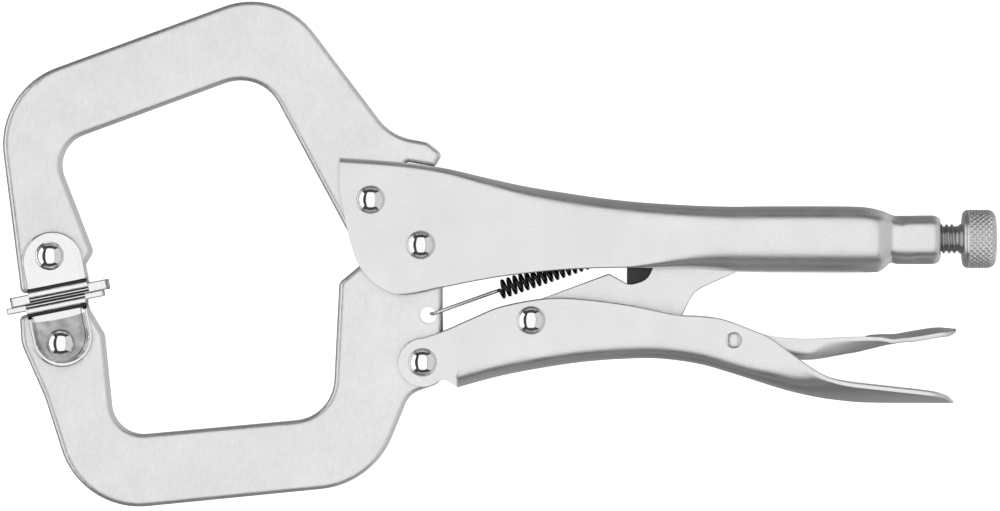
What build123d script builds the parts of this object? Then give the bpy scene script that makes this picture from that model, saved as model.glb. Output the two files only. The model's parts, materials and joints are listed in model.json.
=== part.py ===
"""Locking C clamp with swivel pads, jaws shut and toggle locked. Millimetres.

The clamp lies flat on its side: +X runs to the adjusting knob, +Y to the back of the upper
handle, and +Z is the thickness. Z = 0 is the surface that the clamp lies on.
"""

import os
from math import asin, cos, radians, sin

from build123d import *

os.makedirs("parts", exist_ok=True)

# Thickness, measured from the middle plane of the clamp
MID = 10.4
JAW_THICKNESS = 11.0
SHEET = 2.0
CHANNEL_GAP = JAW_THICKNESS + 0.4
INNER_HALF = CHANNEL_GAP / 2
OUTER_HALF = INNER_HALF + SHEET
LINK_THICKNESS = 4.0

# Pivots in the side view
JAW_RIVET = (-36.5, 15.4)
JAW_PIVOT = (-22.4, 2.7)
HANDLE_PIVOT = (-21.9, -30.3)
LINK_PIVOT = (8.6, -18.5)
LINK_TIP = (69.8, 4.4)
LEVER_PIVOT = (65.6, -24.1)
UPPER_PAD_PIVOT = (-126.7, -0.4)
LOWER_PAD_PIVOT = (-123.6, -25.0)
SPRING_HOLE = (-20.4, -17.1)
SPRING_HOLE_RADIUS = 2.35
SPRING_PEG = (43.5, 7.0)

# Rivets and fits
RUNNING_FIT = 0.06
PIN_RADIUS = 3.0
RUNNING_BORE = PIN_RADIUS + RUNNING_FIT
HEAD_RADIUS = 4.1
HEAD_HEIGHT = 2.6
SMALL_HEAD_RADIUS = 2.3
SMALL_HEAD_HEIGHT = 0.8
SMALL_PIN_RADIUS = 1.6
KNUCKLE_RADIUS = 9.8
KNUCKLE_CLEARANCE = 0.6

# Edges of the forged jaws: rounded towards the throat, crisp outside
THROAT_EDGE_RADIUS = 1.8
FIXED_THROAT_MIDDLE = (-85.0, 20.0)
FIXED_THROAT_REACH = 42.0
MOVING_THROAT_MIDDLE = (-80.0, -20.0)
MOVING_THROAT_REACH = 44.0

# Tubular rear of the upper handle
TUBE_RADIUS = 9.3
TUBE_START = 66.0
TUBE_END = 100.0
NECK_START = 110.5
NECK_END = 124.0
NECK_RADIUS = 6.9
NECK_CHAMFER = 0.9
INSERT_RADIUS = 5.4
INSERT_START = 108.5
INSERT_END = 123.6
SLOT_HALF = 2.5

# Adjusting screw
SCREW_RADIUS = 4.2
SCREW_TIP = 77.0
SCREW_END = 136.0
KNOB_START = 130.1
KNOB_END = 139.7
KNOB_RADIUS = 8.25
KNOB_SHOULDER = 1.8
KNOB_ROUNDING = 2.4

# Swivel pads
PAD_TILT = 11.3
PAD_LENGTH = 28.4
PAD_OFFSET = 0.3
PAD_SHEET = 2.1
UPPER_PAD_FACE = 11.8
LOWER_PAD_FACE = 12.55
EAR_HALF_WIDTH = 8.9
EAR_HEIGHT = 6.8
EAR_SHOULDER = 1.0
EAR_CLEARANCE = 0.2
EAR_OUTER = JAW_THICKNESS / 2 + EAR_CLEARANCE + PAD_SHEET
PAD_BAND = 0.8
BAND_ROUNDING = 0.8
TAB_HALF = 7.0

TUBE_AXIS = Axis((0, LINK_TIP[1], MID), (1, 0, 0))

# Cutting tools and plan views reach from below every outline to above it
FAR = 60.0
PLAN_PLANE = Plane.XZ.offset(FAR)
PLAN_REACH = -90.0


def side_plane(half_thickness):
    """Side-view plane lying the given distance below the middle plane."""
    return Plane.XY.offset(MID - half_thickness)


def cornered(corners):
    """Face bounded by straight runs that meet at (x, y, radius) corners."""
    with BuildSketch() as sketch:
        with BuildLine():
            FilletPolyline(
                *[(x, y) for x, y, _ in corners],
                radius=[radius for _, _, radius in corners],
                close=True,
            )
        make_face()
    return sketch.sketch


def between(upper_points, lower_points):
    """Face between two smooth curves, closed by straight ends."""
    with BuildSketch() as sketch:
        with BuildLine():
            top = Spline(*upper_points)
            bottom = Spline(*lower_points)
            Line(top @ 0, bottom @ 0)
            Line(top @ 1, bottom @ 1)
        make_face()
    return sketch.sketch


def shifted(points, rise):
    """The same curve points moved up by the given amount."""
    return [(x, y + rise) for x, y in points]


def throat_edges(jaw, throat, reach):
    """The jaw's side-face edges that lie within reach of the middle of its throat."""
    edges = jaw.faces().filter_by(Axis.Z).edges()
    middle = Vector(*throat)
    return [
        edge for edge in edges
        if Vector(edge.center().X, edge.center().Y).sub(middle).length < reach
    ]


def domed_rivet(place, half_grip, head_radius=HEAD_RADIUS, head_height=HEAD_HEIGHT,
                pin_radius=PIN_RADIUS):
    """Rivet across the clamp, with a spherical head on each side of its grip."""
    ball = (head_radius**2 + head_height**2) / (2 * head_height)
    half_angle = asin(head_radius / ball) / 2
    crown = half_grip + head_height
    dome_mid = (ball * sin(half_angle), crown - ball * (1 - cos(half_angle)))
    with BuildPart() as rivet:
        with BuildSketch(Plane((*place, MID), x_dir=(1, 0, 0), z_dir=(0, -1, 0))):
            with BuildLine():
                Polyline(
                    (0, 0),
                    (pin_radius, 0),
                    (pin_radius, half_grip),
                    (head_radius, half_grip),
                )
                ThreePointArc((head_radius, half_grip), dome_mid, (0, crown))
                Line((0, crown), (0, 0))
            make_face()
        revolve(axis=Axis((*place, MID), (0, 0, 1)))
        mirror(about=Plane.XY.offset(MID))
    return rivet


# Upper handle: folded channel in front, rolled tube behind, swaged neck at the end
BACK_CURVE = [(-45.2, 27.5), (-23.8, 25.5), (-5.2, 21.9), (16.8, 17.6), (30.0, 15.6)]
BELLY_CURVE = [(-26.0, -11.4), (-16.2, -9.5), (-0.4, -6.3), (16.8, -4.4), (30.0, -3.8)]
CHANNEL_END = 30.0
CHANNEL_TOP = 15.6
CHANNEL_BOTTOM = -3.8
BEND_RADIUS = 3.2
LIP_RADIUS = 0.4
NOSE = [(-45.4, 20.0), (-37.8, -11.4)]
NOSE_RADII = [8.0, 9.0]
NOSE_OPENING_END = -45.15
NOTCH_END = -26.3
NOTCH_LENGTH = 30.0
NOTCH_LOW = 10.0
NOTCH_HIGH = 30.0


def handle_section(x, low, high, half_width, top_radius, bottom_radius):
    """Cross-section of the upper handle, rounded at its four corners."""
    with BuildSketch(Plane.YZ.offset(x)) as section:
        with Locations(((low + high) / 2, MID)):
            Rectangle(high - low, 2 * half_width)
        fillet(section.vertices().group_by(Axis.X)[-1], top_radius)
        fillet(section.vertices().group_by(Axis.X)[0], bottom_radius)
    return section.sketch


def tube_section(radius):
    """Nearly round cross-section with the same number of edges as a channel section."""
    return handle_section(
        TUBE_START, LINK_TIP[1] - radius, LINK_TIP[1] + radius, radius, radius - 0.1, radius - 0.1
    )


def tube_profile(radius, shoulder_start, neck_start, neck_radius, end):
    """Half profile of the round rear, from the tube's start to the end of the neck."""
    axis_y = LINK_TIP[1]
    tube_y = axis_y + radius
    neck_y = axis_y + neck_radius
    with BuildSketch() as profile:
        with BuildLine():
            Polyline((TUBE_START, axis_y), (TUBE_START, tube_y), (shoulder_start, tube_y))
            Spline((shoulder_start, tube_y), (neck_start, neck_y), tangents=((1, 0), (1, -0.55)))
            Polyline((neck_start, neck_y), (end, neck_y), (end, axis_y), (TUBE_START, axis_y))
        make_face()
    return profile.sketch


with BuildPart() as upper_handle:
    with BuildSketch(side_plane(OUTER_HALF)):
        with BuildLine():
            back = Spline(*BACK_CURVE)
            FilletPolyline(back @ 0, *NOSE, BELLY_CURVE[0], radius=NOSE_RADII)
            belly = Spline(*BELLY_CURVE)
            Line(back @ 1, belly @ 1)
        make_face()
    extrude(amount=2 * OUTER_HALF)
    for wall in (faces().sort_by(Axis.Z)[0], faces().sort_by(Axis.Z)[-1]):
        fillet(wall.edges().sort_by(Axis.Y)[-1], BEND_RADIUS)
    loft(
        sections=[
            handle_section(
                CHANNEL_END, CHANNEL_BOTTOM, CHANNEL_TOP, OUTER_HALF, BEND_RADIUS, LIP_RADIUS
            ),
            tube_section(TUBE_RADIUS),
        ]
    )
    with BuildSketch(Plane.XY.offset(MID)):
        add(tube_profile(TUBE_RADIUS, TUBE_END, NECK_START, NECK_RADIUS, NECK_END))
    revolve(axis=TUBE_AXIS)
    chamfer(edges().sort_by(Axis.X)[-1], NECK_CHAMFER)
    # hollow of the channel, open towards the lower handle
    with BuildSketch(side_plane(INNER_HALF)):
        add(between(shifted(BACK_CURVE, -SHEET), [(x, -FAR) for x, _ in BACK_CURVE]))
        with Locations((NOSE_OPENING_END, 0.0)):
            Rectangle(FAR, 2 * FAR, align=(Align.MAX, Align.CENTER))
    extrude(amount=2 * INNER_HALF, mode=Mode.SUBTRACT)
    # hollow of the transition and of the tube
    loft(
        sections=[
            handle_section(
                CHANNEL_END, CHANNEL_BOTTOM, CHANNEL_TOP - SHEET, INNER_HALF, BEND_RADIUS - SHEET, 0.2
            ),
            tube_section(TUBE_RADIUS - SHEET),
        ],
        mode=Mode.SUBTRACT,
    )
    with BuildSketch(Plane.XY.offset(MID)):
        bore = TUBE_RADIUS - SHEET
        add(tube_profile(bore, TUBE_END - 1, NECK_START - 3, INSERT_RADIUS, NECK_END))
    revolve(axis=TUBE_AXIS, mode=Mode.SUBTRACT)
    # lengthwise slot that narrows from the channel's mouth to the tube's seam
    with BuildSketch(Plane.XZ.offset(-LINK_TIP[1])):
        with BuildLine():
            Polyline(
                (CHANNEL_END, MID - INNER_HALF),
                (TUBE_START, MID - SLOT_HALF),
                (TUBE_END, MID - SLOT_HALF),
                (TUBE_END, MID + SLOT_HALF),
                (TUBE_START, MID + SLOT_HALF),
                (CHANNEL_END, MID + INNER_HALF),
                close=True,
            )
        make_face()
    extrude(amount=FAR, mode=Mode.SUBTRACT)
    # notch through the web for the fixed jaw
    with BuildSketch(side_plane(INNER_HALF)):
        with Locations((NOTCH_END, NOTCH_LOW)):
            Rectangle(NOTCH_LENGTH, NOTCH_HIGH - NOTCH_LOW, align=(Align.MAX, Align.MIN))
    extrude(amount=2 * INNER_HALF, mode=Mode.SUBTRACT)
    with BuildSketch(side_plane(OUTER_HALF)):
        with Locations(JAW_RIVET, JAW_PIVOT):
            Circle(PIN_RADIUS)
    extrude(amount=2 * OUTER_HALF, mode=Mode.SUBTRACT)
upper_handle.part.label = "upper_handle"
export_step(upper_handle.part, "parts/upper_handle.step")

# Fixed jaw: forged arm whose tang is riveted between the walls of the upper handle
FIXED_JAW_OUTLINE = [
    (-134.9, -11.1, 1.5),
    (-142.2, 46.3, 23.0),
    (-62.4, 75.5, 22.0),
    (-30.7, 33.4, 15.0),
    (-20.6, 31.6, 3.0),
    (-16.3, 28.3, 1.6),
    (-18.4, 24.85, 0.6),
    (NOTCH_END - 0.2, 26.2, 0.5),
    (NOTCH_END - 0.2, 3.6, 0.0),
    (-42.0, 4.6, 3.0),
    (-67.5, 52.1, 12.5),
    (-126.3, 30.5, 9.0),
    (-114.8, 0.8, 2.5),
    (-117.3, -3.2, 3.0),
    (-117.4, -6.8, 1.5),
    (-123.6, -9.5, 3.0),
]

with BuildPart() as fixed_jaw:
    with BuildSketch(side_plane(JAW_THICKNESS / 2)):
        add(cornered(FIXED_JAW_OUTLINE))
    extrude(amount=JAW_THICKNESS)
    fillet(throat_edges(fixed_jaw, FIXED_THROAT_MIDDLE, FIXED_THROAT_REACH), THROAT_EDGE_RADIUS)
    with BuildSketch(side_plane(JAW_THICKNESS / 2)):
        with Locations(JAW_RIVET):
            Circle(PIN_RADIUS)
        with Locations(JAW_PIVOT):
            Circle(KNUCKLE_RADIUS + KNUCKLE_CLEARANCE)
        with Locations(UPPER_PAD_PIVOT):
            Circle(RUNNING_BORE)
    extrude(amount=JAW_THICKNESS, mode=Mode.SUBTRACT)
fixed_jaw.part.label = "fixed_jaw"
export_step(fixed_jaw.part, "parts/fixed_jaw.step")

# Moving jaw: forged arm that swings on the jaw pivot
MOVING_JAW_OUTLINE = [
    (-135.3, -17.4, 1.5),
    (-134.9, -25.0, 10.0),
    (-128.1, -40.5, 30.0),
    (-117.9, -72.7, 23.0),
    (-35.9, -64.6, 24.0),
    (-25.6, -39.2, 7.0),
    (-16.2, -36.0, 4.0),
    (-16.2, 0.0, 0.0),
    (-31.0, 4.0, 0.0),
    (-45.4, -7.9, 2.5),
    (-47.3, -45.8, 12.0),
    (-108.7, -51.4, 9.0),
    (-111.6, -22.6, 3.0),
    (-116.2, -14.9, 1.5),
    (-124.4, -14.9, 2.0),
]

with BuildPart() as moving_jaw:
    with BuildSketch(side_plane(JAW_THICKNESS / 2)):
        add(cornered(MOVING_JAW_OUTLINE))
    extrude(amount=JAW_THICKNESS)
    fillet(throat_edges(moving_jaw, MOVING_THROAT_MIDDLE, MOVING_THROAT_REACH), THROAT_EDGE_RADIUS)
    with BuildSketch(side_plane(JAW_THICKNESS / 2)):
        with Locations(JAW_PIVOT):
            Circle(KNUCKLE_RADIUS)
    extrude(amount=JAW_THICKNESS)
    with BuildSketch(side_plane(JAW_THICKNESS / 2)):
        with Locations(JAW_PIVOT, HANDLE_PIVOT, LOWER_PAD_PIVOT):
            Circle(RUNNING_BORE)
        with Locations(SPRING_HOLE):
            Circle(SPRING_HOLE_RADIUS)
    extrude(amount=JAW_THICKNESS, mode=Mode.SUBTRACT)
moving_jaw.part.label = "moving_jaw"
export_step(moving_jaw.part, "parts/moving_jaw.step")

# Lower handle: folded channel, open upwards, flared and rounded at the tail
GRIP_TOP = [
    (-21.9, -23.6), (-7.2, -17.6), (13.0, -12.2), (35.0, -14.0), (58.0, -17.3),
    (74.5, -22.8), (86.0, -31.0), (98.0, -35.8), (121.0, -38.3), (127.8, -41.2),
]
GRIP_BOTTOM = [
    (-12.0, -37.3), (11.4, -32.0), (40.0, -29.2), (65.0, -33.3),
    (89.0, -40.2), (106.0, -41.9), (127.8, -41.9),
]
EAR_RADIUS = 6.9
EAR_NECK = [(-15.4, -35.2), (-21.9, -37.0)]
EARS_START = -36.0
WEB_START = GRIP_BOTTOM[0][0]
GRIP_BEND = 3.0
FLARE_START = 72.0
FLARE_END = 102.0
FLARE_ROUNDING = 60.0
TAIL_HALF = MID
TAIL_END = 127.6
TAIL_ROUNDING = 7.5


def tail_plan(inset):
    """Plan view of the lower handle seen from above its web, drawn in by the inset."""
    flat = OUTER_HALF - inset
    wide = TAIL_HALF - inset
    tip = TAIL_END - inset
    tail = TAIL_ROUNDING - inset
    flare = FLARE_ROUNDING
    with BuildSketch(PLAN_PLANE) as plan:
        with BuildLine():
            FilletPolyline(
                (EARS_START, MID - flat),
                (FLARE_START, MID - flat),
                (FLARE_END, MID - wide),
                (tip, MID - wide),
                (tip, MID + wide),
                (FLARE_END, MID + wide),
                (FLARE_START, MID + flat),
                (EARS_START, MID + flat),
                radius=[0, flare, flare, tail, tail, flare, flare, 0],
                close=True,
            )
        make_face()
    return plan.sketch


def grip_trough(inset):
    """Tall round-bottomed trough along the lower handle's web, drawn in by the inset."""
    with BuildPart() as trough:
        with BuildSketch(side_plane(TAIL_HALF)):
            rim = [(x, 10.0) for x, _ in GRIP_BOTTOM]
            add(between(rim, shifted(GRIP_BOTTOM, inset)))
        extrude(amount=2 * TAIL_HALF)
        extrude(tail_plan(inset), amount=PLAN_REACH, mode=Mode.INTERSECT)
        web_edges = faces().sort_by(Axis.Y)[0].edges()
        lengthwise = [edge for edge in web_edges if abs(edge.tangent_at(0.5).X) > 0.1]
        fillet(lengthwise, GRIP_BEND - inset)
    return trough.part


def ears_block(half_thickness, end):
    """Block round the handle's ears, as wide as given and up to the given x."""
    with BuildPart() as block:
        with BuildSketch(side_plane(half_thickness)):
            with Locations((EARS_START, 0.0)):
                Rectangle(end - EARS_START, 2 * FAR, align=(Align.MIN, Align.CENTER))
        extrude(amount=2 * half_thickness)
    return block.part


with BuildPart() as lower_handle:
    with BuildSketch(side_plane(TAIL_HALF)):
        with BuildLine():
            top = Spline(*GRIP_TOP)
            bottom = Spline(*GRIP_BOTTOM)
            Line(top @ 1, bottom @ 1)
            Polyline(bottom @ 0, *EAR_NECK, top @ 0)
        make_face()
        with Locations(HANDLE_PIVOT):
            Circle(EAR_RADIUS)
    extrude(amount=2 * TAIL_HALF)
    add(grip_trough(0) + ears_block(OUTER_HALF, WEB_START + 0.05), mode=Mode.INTERSECT)
    add(grip_trough(SHEET) + ears_block(INNER_HALF, WEB_START + 0.1), mode=Mode.SUBTRACT)
    with BuildSketch(side_plane(TAIL_HALF)):
        with Locations(HANDLE_PIVOT, LINK_PIVOT):
            Circle(PIN_RADIUS)
        with Locations(LEVER_PIVOT):
            Circle(SMALL_PIN_RADIUS)
    extrude(amount=2 * TAIL_HALF, mode=Mode.SUBTRACT)
lower_handle.part.label = "lower_handle"
export_step(lower_handle.part, "parts/lower_handle.step")

# Toggle link: flat plate from the lower handle to the tip of the adjusting screw
LINK_EDGE_RADIUS = 0.35
SPACER_RADIUS = 5.4
SPACER_GAP = 0.1
LINK_OUTLINE = [
    (2.6, -15.5, 4.0),
    (12.0, -12.3, 20.0),
    (30.6, -5.4, 1.2),
    (36.2, -8.6, 3.6),
    (41.5, -7.0, 4.6),
    (43.6, -1.0, 5.0),
    (64.5, 7.9, 6.0),
    (73.3, 7.9, 3.4),
    (73.3, 0.9, 3.4),
    (68.0, -4.2, 8.0),
    (54.4, -10.4, 8.0),
    (50.2, -19.3, 3.0),
    (12.0, -24.8, 4.0),
    (2.4, -24.8, 6.0),
]

with BuildPart() as toggle_link:
    with BuildSketch(side_plane(LINK_THICKNESS / 2)):
        add(cornered(LINK_OUTLINE))
        with Locations(LINK_PIVOT):
            Circle(RUNNING_BORE, mode=Mode.SUBTRACT)
    extrude(amount=LINK_THICKNESS)
    fillet(faces().filter_by(Axis.Z).edges(), LINK_EDGE_RADIUS)
toggle_link.part.label = "toggle_link"
export_step(toggle_link.part, "parts/toggle_link.step")

# Spacers: one washer on each side of the toggle link
with BuildPart() as link_spacers:
    washer_start = LINK_THICKNESS / 2 + SPACER_GAP
    with BuildSketch(Plane.XY.offset(MID + washer_start)):
        with Locations(LINK_PIVOT):
            Circle(SPACER_RADIUS)
            Circle(PIN_RADIUS, mode=Mode.SUBTRACT)
    extrude(amount=INNER_HALF - washer_start)
    mirror(about=Plane.XY.offset(MID))
link_spacers.part.label = "link_spacers"
export_step(link_spacers.part, "parts/link_spacers.step")

# Release lever: folded strip between the walls of the lower handle, with a finger tab
LEVER_TOP = [
    (57.0, -22.0), (66.0, -20.5), (77.0, -23.1), (85.6, -23.8), (96.0, -23.3),
    (108.0, -22.3), (117.0, -21.2), (127.4, -20.3),
]
LEVER_BOTTOM = [
    (57.0, -26.0), (66.0, -29.0), (84.0, -29.9), (96.0, -28.3),
    (109.0, -25.5), (118.0, -24.9), (127.4, -22.9),
]
LEVER_SHEET = 1.6
LEVER_CLEARANCE = 0.3
LEVER_HALF = INNER_HALF - LEVER_CLEARANCE
LEVER_START = 50.0
HOLLOW_END = 106.0
HOLLOW_ROUNDING = 3.5
TAB_END = 128.7
TAB_ROUNDING = 4.5


def lever_plan(half_width, end, tip_radius):
    """Plan view of the release lever, rounded at its far end."""
    with BuildSketch(PLAN_PLANE) as plan:
        with Locations((LEVER_START, MID)):
            Rectangle(end - LEVER_START, 2 * half_width, align=(Align.MIN, Align.CENTER))
        fillet(plan.vertices().group_by(Axis.X)[-1], tip_radius)
    return plan.sketch


with BuildPart() as lever_hollow:
    with BuildSketch(side_plane(LEVER_HALF)):
        add(between(shifted(LEVER_TOP, -LEVER_SHEET), [(x, -FAR) for x, _ in LEVER_TOP]))
    extrude(amount=2 * LEVER_HALF)
    hollow_plan = lever_plan(LEVER_HALF - LEVER_SHEET, HOLLOW_END, HOLLOW_ROUNDING)
    extrude(hollow_plan, amount=PLAN_REACH, mode=Mode.INTERSECT)

with BuildPart() as release_lever:
    with BuildSketch(side_plane(LEVER_HALF)):
        with BuildLine():
            top = Spline(*LEVER_TOP)
            bottom = Spline(*LEVER_BOTTOM)
            Line(top @ 0, bottom @ 0)
            ThreePointArc(top @ 1, (TAB_END, -21.7), bottom @ 1)
        make_face()
    extrude(amount=2 * LEVER_HALF)
    extrude(lever_plan(LEVER_HALF, TAB_END, TAB_ROUNDING), amount=PLAN_REACH, mode=Mode.INTERSECT)
    add(lever_hollow.part, mode=Mode.SUBTRACT)
    with BuildSketch(side_plane(LEVER_HALF)):
        with Locations(LEVER_PIVOT):
            Circle(SMALL_PIN_RADIUS + RUNNING_FIT)
    extrude(amount=2 * LEVER_HALF, mode=Mode.SUBTRACT)
release_lever.part.label = "release_lever"
export_step(release_lever.part, "parts/release_lever.step")

# Adjusting screw, its knurled knob and the threaded insert crimped into the neck
with BuildPart() as adjusting_screw:
    with BuildSketch(Plane.YZ.offset(SCREW_TIP)):
        with Locations((LINK_TIP[1], MID)):
            Circle(SCREW_RADIUS)
    extrude(amount=SCREW_END - SCREW_TIP)
    chamfer(edges().sort_by(Axis.X)[0], 1.0)
adjusting_screw.part.label = "adjusting_screw"
export_step(adjusting_screw.part, "parts/adjusting_screw.step")

with BuildPart() as adjusting_knob:
    with BuildSketch(Plane.YZ.offset(KNOB_START)):
        with Locations((LINK_TIP[1], MID)):
            Circle(KNOB_RADIUS)
    extrude(amount=KNOB_END - KNOB_START)
    fillet(edges().sort_by(Axis.X)[0], KNOB_SHOULDER)
    fillet(edges().sort_by(Axis.X)[-1], KNOB_ROUNDING)
    with BuildSketch(Plane.YZ.offset(KNOB_START)):
        with Locations((LINK_TIP[1], MID)):
            Circle(SCREW_RADIUS + RUNNING_FIT)
    extrude(amount=SCREW_END - KNOB_START + 0.1, mode=Mode.SUBTRACT)
adjusting_knob.part.label = "adjusting_knob"
export_step(adjusting_knob.part, "parts/adjusting_knob.step")

with BuildPart() as threaded_insert:
    with BuildSketch(Plane.YZ.offset(INSERT_START)):
        with Locations((LINK_TIP[1], MID)):
            Circle(INSERT_RADIUS)
            Circle(SCREW_RADIUS + RUNNING_FIT, mode=Mode.SUBTRACT)
    extrude(amount=INSERT_END - INSERT_START)
threaded_insert.part.label = "threaded_insert"
export_step(threaded_insert.part, "parts/threaded_insert.step")

# Return spring: hooked wire, close coil and rear hook, from the moving jaw to its anchor
COIL_START = (-0.1, -10.0)
COIL_END = (33.5, 1.6)
COIL_RADIUS = 2.75
WIRE_RADIUS = 0.55
WIRE_CLEARANCE = 0.2
WIRE_KNEE = (-14.6, -15.1)
PEG_RADIUS = 1.0
HOOK_HEIGHT = 1.2

HOOK_RISE = JAW_THICKNESS / 2 + WIRE_RADIUS + WIRE_CLEARANCE
spring_route = [
    (*SPRING_HOLE, MID),
    (*SPRING_HOLE, MID + HOOK_RISE),
    (*WIRE_KNEE, MID + HOOK_RISE),
    (*COIL_START, MID + COIL_RADIUS - WIRE_RADIUS),
]
rear_hook = (SPRING_PEG[0], SPRING_PEG[1] + PEG_RADIUS + HOOK_HEIGHT, MID)

with BuildPart() as return_spring:
    runs = [(start, end, WIRE_RADIUS) for start, end in zip(spring_route, spring_route[1:])]
    runs.append(((*COIL_START, MID), (*COIL_END, MID), COIL_RADIUS))
    runs.append(((*COIL_END, MID), rear_hook, WIRE_RADIUS))
    for start, end, radius in runs:
        run = Vector(*end) - Vector(*start)
        with BuildSketch(Plane(start, z_dir=run)):
            Circle(radius)
        extrude(amount=run.length)
return_spring.part.label = "return_spring"
export_step(return_spring.part, "parts/return_spring.step")

# Spring anchor: small plate that hangs from the web, with a peg for the spring's rear hook
ANCHOR_NEAR = 2.5
ANCHOR_FAR = 4.1
ANCHOR_OUTLINE = [(35.7, -9.2), (43.5, -9.2), (45.0, 4.0), (45.0, 12.6), (35.7, 13.1)]
PEG_END = 1.5

with BuildPart() as spring_anchor:
    with BuildSketch(side_plane(ANCHOR_FAR)):
        with BuildLine():
            Polyline(*ANCHOR_OUTLINE, close=True)
        make_face()
    extrude(amount=ANCHOR_FAR - ANCHOR_NEAR)
    with BuildSketch(side_plane(ANCHOR_FAR)):
        with Locations(SPRING_PEG):
            Circle(PEG_RADIUS)
    extrude(amount=ANCHOR_FAR + PEG_END)
spring_anchor.part.label = "spring_anchor"
export_step(spring_anchor.part, "parts/spring_anchor.step")

# Rivets: one through each pivot and one that holds the fixed jaw
rivets = {
    "fixed_jaw_rivet": domed_rivet(JAW_RIVET, OUTER_HALF),
    "jaw_pivot_rivet": domed_rivet(JAW_PIVOT, OUTER_HALF),
    "handle_pivot_rivet": domed_rivet(HANDLE_PIVOT, OUTER_HALF),
    "link_pivot_rivet": domed_rivet(LINK_PIVOT, OUTER_HALF),
    "release_lever_rivet": domed_rivet(
        LEVER_PIVOT, OUTER_HALF, SMALL_HEAD_RADIUS, SMALL_HEAD_HEIGHT, SMALL_PIN_RADIUS
    ),
    "upper_pad_rivet": domed_rivet(UPPER_PAD_PIVOT, EAR_OUTER),
    "lower_pad_rivet": domed_rivet(LOWER_PAD_PIVOT, EAR_OUTER),
}
for name, rivet in rivets.items():
    rivet.part.label = name
    export_step(rivet.part, f"parts/{name}.step")


def swivel_pad(pivot, face_distance, side):
    """Channel-shaped pad whose ears straddle a jaw; side is -1 when its face looks down."""
    tilt = radians(PAD_TILT)
    plane = Plane(
        (*pivot, MID),
        x_dir=(cos(tilt), sin(tilt), 0),
        z_dir=(0, 0, 1),
    )
    face = side * face_distance
    crease = side * (face_distance - PAD_SHEET)
    shoulder = side * EAR_SHOULDER
    with BuildPart() as pad:
        with BuildSketch(plane.offset(-EAR_OUTER)):
            with BuildLine():
                Polyline(
                    (EAR_HALF_WIDTH, shoulder),
                    (EAR_HALF_WIDTH, crease),
                    (-EAR_HALF_WIDTH, crease),
                    (-EAR_HALF_WIDTH, shoulder),
                )
                ThreePointArc(
                    (-EAR_HALF_WIDTH, shoulder), (0, -side * EAR_HEIGHT), (EAR_HALF_WIDTH, shoulder)
                )
            make_face()
        extrude(amount=2 * EAR_OUTER)
        with BuildSketch(plane.offset(-JAW_THICKNESS / 2 - EAR_CLEARANCE)):
            Rectangle(2 * PAD_LENGTH, 4 * EAR_HEIGHT)
        extrude(amount=JAW_THICKNESS + 2 * EAR_CLEARANCE, mode=Mode.SUBTRACT)
        with BuildSketch(plane.offset(-EAR_OUTER)):
            Circle(PIN_RADIUS)
        extrude(amount=2 * EAR_OUTER, mode=Mode.SUBTRACT)
        with BuildSketch(plane.offset(-TAB_HALF)):
            with Locations((PAD_OFFSET, (face + crease) / 2)):
                Rectangle(PAD_LENGTH, PAD_SHEET)
        extrude(amount=2 * TAB_HALF)
    with BuildPart() as band:
        with BuildSketch(plane.offset(-EAR_OUTER - PAD_BAND)):
            with Locations((0, (face + crease) / 2)):
                Rectangle(2 * EAR_HALF_WIDTH, PAD_SHEET)
        extrude(amount=2 * (EAR_OUTER + PAD_BAND))
        fillet(faces().filter_by(Axis.Z).edges(), BAND_ROUNDING)
    pad.part += band.part
    return pad


upper_pad = swivel_pad(UPPER_PAD_PIVOT, UPPER_PAD_FACE, -1)
upper_pad.part.label = "upper_pad"
export_step(upper_pad.part, "parts/upper_pad.step")
lower_pad = swivel_pad(LOWER_PAD_PIVOT, LOWER_PAD_FACE, 1)
lower_pad.part.label = "lower_pad"
export_step(lower_pad.part, "parts/lower_pad.step")
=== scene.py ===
"""Looks of the locking C clamp: metal finishes, screw thread, knurl, spring, pads and studio."""

import json
from math import atan2, ceil, cos, hypot, pi, radians, sin, sqrt

import bmesh
import bpy
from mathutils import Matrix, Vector


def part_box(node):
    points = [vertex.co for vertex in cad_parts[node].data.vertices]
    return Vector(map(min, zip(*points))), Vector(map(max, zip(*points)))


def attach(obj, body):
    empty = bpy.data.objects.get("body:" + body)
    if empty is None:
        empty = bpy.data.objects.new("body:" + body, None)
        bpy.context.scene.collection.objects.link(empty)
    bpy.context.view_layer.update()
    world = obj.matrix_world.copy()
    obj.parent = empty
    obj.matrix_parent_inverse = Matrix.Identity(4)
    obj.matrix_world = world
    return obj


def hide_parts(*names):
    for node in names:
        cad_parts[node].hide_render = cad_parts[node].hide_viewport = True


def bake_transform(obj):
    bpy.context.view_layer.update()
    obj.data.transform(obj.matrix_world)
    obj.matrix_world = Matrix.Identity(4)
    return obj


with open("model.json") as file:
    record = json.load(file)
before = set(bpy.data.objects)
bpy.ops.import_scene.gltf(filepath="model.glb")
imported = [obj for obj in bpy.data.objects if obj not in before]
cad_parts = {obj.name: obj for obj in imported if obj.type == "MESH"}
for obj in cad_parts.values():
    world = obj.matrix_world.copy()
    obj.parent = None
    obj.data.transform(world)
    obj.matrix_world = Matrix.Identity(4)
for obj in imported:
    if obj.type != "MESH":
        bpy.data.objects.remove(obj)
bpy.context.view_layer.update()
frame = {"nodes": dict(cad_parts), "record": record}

MM = 0.001
WELD_DISTANCE = 0.00001


def centre_of(node):
    """Middle of a CAD node's box, in metres."""
    low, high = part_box(node)
    return (low + high) / 2


MID = centre_of("upper_handle").z
TUBE_Y = centre_of("adjusting_screw").y
JAW_HALF = (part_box("fixed_jaw")[1].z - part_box("fixed_jaw")[0].z) / 2


# ---------------------------------------------------------------- mesh helpers

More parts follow.
